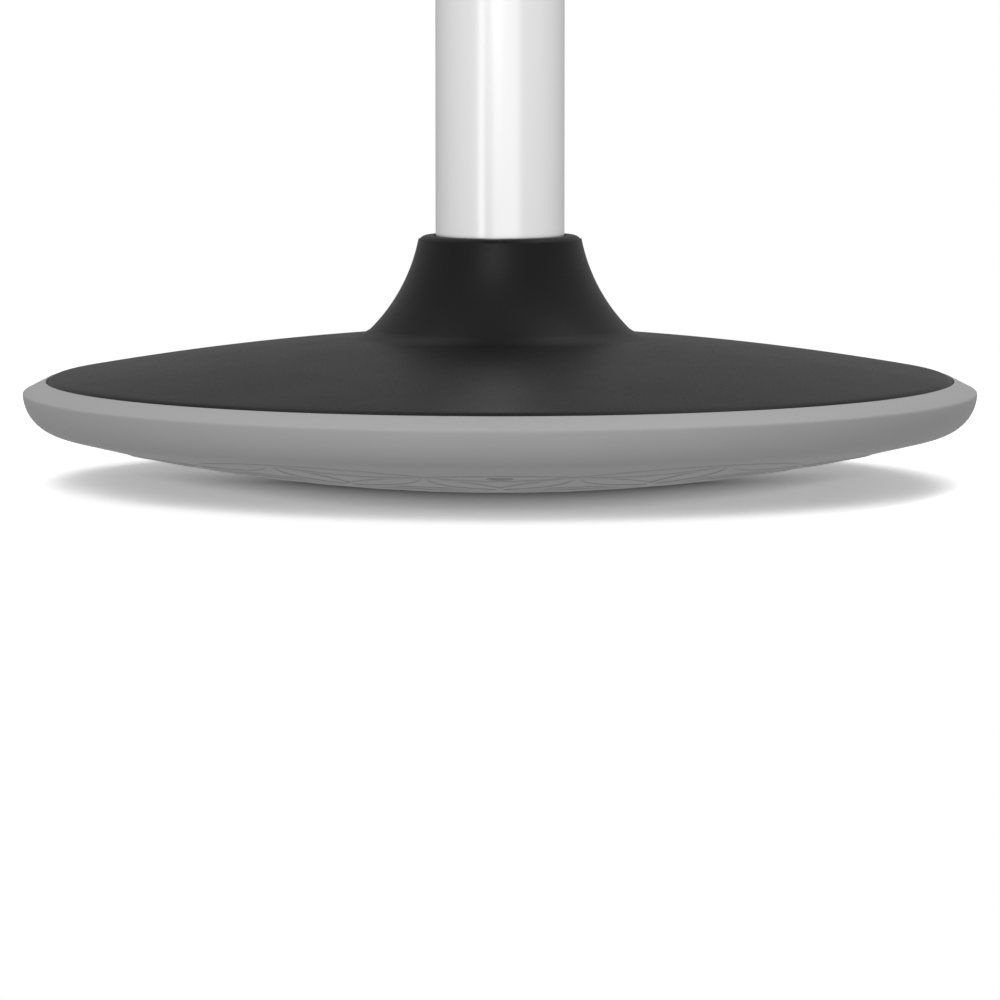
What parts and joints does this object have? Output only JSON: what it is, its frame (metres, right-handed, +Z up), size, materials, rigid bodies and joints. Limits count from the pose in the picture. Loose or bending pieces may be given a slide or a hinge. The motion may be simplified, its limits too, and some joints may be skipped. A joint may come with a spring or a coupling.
{
  "type": "rocking office stool",
  "caption": "Sit-stand office stool with a domed rocking base, a trumpet-collared cover, a swivelling gas-lift column and a round padded seat with a release lever.",
  "frame": {"origin": "middle of the flat under the base on which the stool rests", "axes": "+Z up along the column; +X towards the release lever; the picture looks along +Y"},
  "size_m": [0.37, 0.37, 0.5946],
  "materials": {
    "grey_rubber": "matt moulded",
    "black_plastic": "fine moulded grain",
    "silver_paint": "satin silver",
    "black_paint": "satin black",
    "bright_steel": "ground",
    "plain_steel": "rolled sheet",
    "cast_weight": "as cast",
    "white_nylon": "moulded",
    "brass": "turned",
    "black_rubber": "moulded",
    "plywood": "sawn",
    "seat_fabric": "woven"
  },
  "bodies": {
    "base": {"rocker_pad": "grey_rubber", "pad_screws": "black_paint", "base_cover": "black_plastic", "base_plate": "plain_steel", "column_socket": "plain_steel", "socket_gussets": "plain_steel", "ballast_ring": "cast_weight", "ballast_bolts": "plain_steel", "column_tube": "silver_paint", "guide_sleeve": "black_plastic", "lower_race": "bright_steel", "bearing_balls": "bright_steel", "ball_cage": "brass"},
    "spindle": {"upper_race": "bright_steel", "rod_clip": "plain_steel", "piston_rod": "bright_steel", "rod_bumper": "black_rubber", "piston": "white_nylon", "piston_seal": "black_rubber"},
    "seat": {"pressure_cylinder": "black_paint", "end_guide": "white_nylon", "valve_body": "brass", "seat_socket": "black_paint", "seat_plate": "black_paint", "lever_bracket": "black_paint", "seat_shell": "black_plastic", "seat_board": "plywood", "seat_nuts": "plain_steel", "seat_washers": "plain_steel", "seat_bolts": "plain_steel", "seat_cushion": "seat_fabric"},
    "valve": {"valve_button": "bright_steel"},
    "lever": {"lever_pivot": "black_plastic", "lever_rod": "black_paint", "lever_handle": "black_plastic"}
  },
  "joints": [
    {"name": "seat_swivel", "type": "hinge", "parent": "base", "child": "spindle", "pos_m": [0, 0, 0.04], "axis": [0, 0, 1], "continuous": true},
    {"name": "height_adjust", "type": "slide", "parent": "spindle", "child": "seat", "axis": [0, 0, 1], "range_m": [0, 0.254]},
    {"name": "lever_pull", "type": "hinge", "parent": "seat", "child": "lever", "pos_m": [0.036, 0, 0.48904], "axis": [0, -1, 0], "range_deg": [0, 7], "stiffness_Nm_per_rad": 3},
    {"name": "valve_press", "type": "slide", "parent": "seat", "child": "valve", "axis": [0, 0, -1], "range_m": [0, 0.0045]}
  ],
  "couplings": [
    {"joint": "valve_press", "follows": "lever_pull", "m_per_rad": 0.036}
  ]
}
